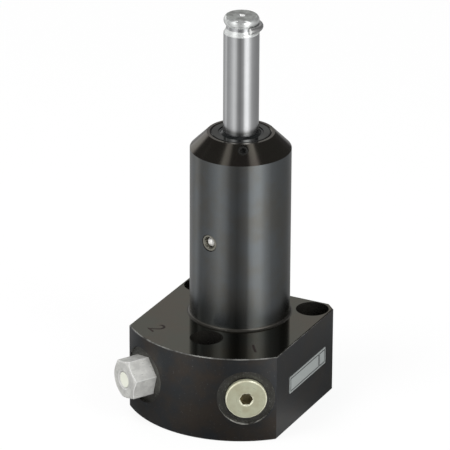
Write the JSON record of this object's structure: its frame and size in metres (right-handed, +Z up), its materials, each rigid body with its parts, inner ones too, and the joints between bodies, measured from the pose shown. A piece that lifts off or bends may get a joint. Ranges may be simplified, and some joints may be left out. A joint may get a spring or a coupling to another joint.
{
  "type": "swing clamp cylinder",
  "caption": "Hydraulic swing clamp cylinder with a lower flange: round body on a flange block, plunger that turns a quarter and pulls down.",
  "frame": {"origin": "on the plunger's axis, in the underside of the flange, which is the centre of the bolt circle", "axes": "+Z up along the plunger, -Y towards the rounded front with the two ports, +X to the right of the front"},
  "size_m": [0.0757, 0.0826, 0.1832],
  "materials": {
    "black_oxide_steel": "ground and black oxide coated, satin gloss",
    "ground_steel": "hardened and ground, bright",
    "spring_steel": "drawn wire, oiled",
    "ball_steel": "polished bearing steel",
    "zinc_plated_steel": "pale yellow zinc plate, satin",
    "bare_steel": "machined, oiled",
    "vent_aluminium": "turned and milled, bright",
    "porous_plastic": "sintered, cream, matt",
    "nitrile_rubber": "moulded, matt black",
    "seal_polyurethane": "moulded, dark",
    "filled_ptfe": "machined, bronze brown"
  },
  "bodies": {
    "housing": {"body": "black_oxide_steel", "gland": "black_oxide_steel", "gland_lock_screw": "black_oxide_steel", "gland_o_ring": "nitrile_rubber", "rod_bearing": "filled_ptfe", "rod_seal": "seal_polyurethane", "rod_wiper": "seal_polyurethane", "guide_ball": "ball_steel", "guide_ball_seat": "bare_steel", "expander_sleeve": "bare_steel", "expander_ball": "ball_steel", "end_cap": "bare_steel", "end_cap_o_ring": "nitrile_rubber", "end_cap_circlip": "spring_steel", "gallery_ball": "ball_steel", "port_plug": "zinc_plated_steel", "port_plug_seal": "nitrile_rubber", "vent_body": "vent_aluminium", "vent_filter": "porous_plastic", "vent_seal": "nitrile_rubber", "manifold_o_ring_clamp": "nitrile_rubber", "manifold_o_ring_vent": "nitrile_rubber"},
    "spring": {"return_spring": "spring_steel"},
    "thrust_seat": {"spring_seat": "bare_steel", "pivot_ball": "ball_steel"},
    "plunger": {"plunger": "ground_steel", "piston_seal": "seal_polyurethane", "piston_guide_ring": "filled_ptfe", "arm_retaining_ring": "spring_steel"}
  },
  "joints": [
    {"name": "swing_stroke", "type": "slide", "parent": "housing", "child": "spring", "axis": [0, 0, 1], "range_m": [-0.012, 0], "stiffness_N_per_m": 16000, "springref_m": 0.005, "deforming": ["return_spring"]},
    {"name": "clamp_stroke", "type": "slide", "parent": "spring", "child": "thrust_seat", "axis": [0, 0, 1], "range_m": [-0.01, 0], "stiffness_N_per_m": 16000, "springref_m": 0.017, "deforming": ["return_spring"]},
    {"name": "swing_turn", "type": "hinge", "parent": "thrust_seat", "child": "plunger", "pos_m": [0, 0, 0.0952], "axis": [0, 0, 1], "range_deg": [-90, 0]}
  ],
  "couplings": [
    {"joint": "swing_turn", "follows": "swing_stroke", "rad_per_m": 130.9}
  ]
}
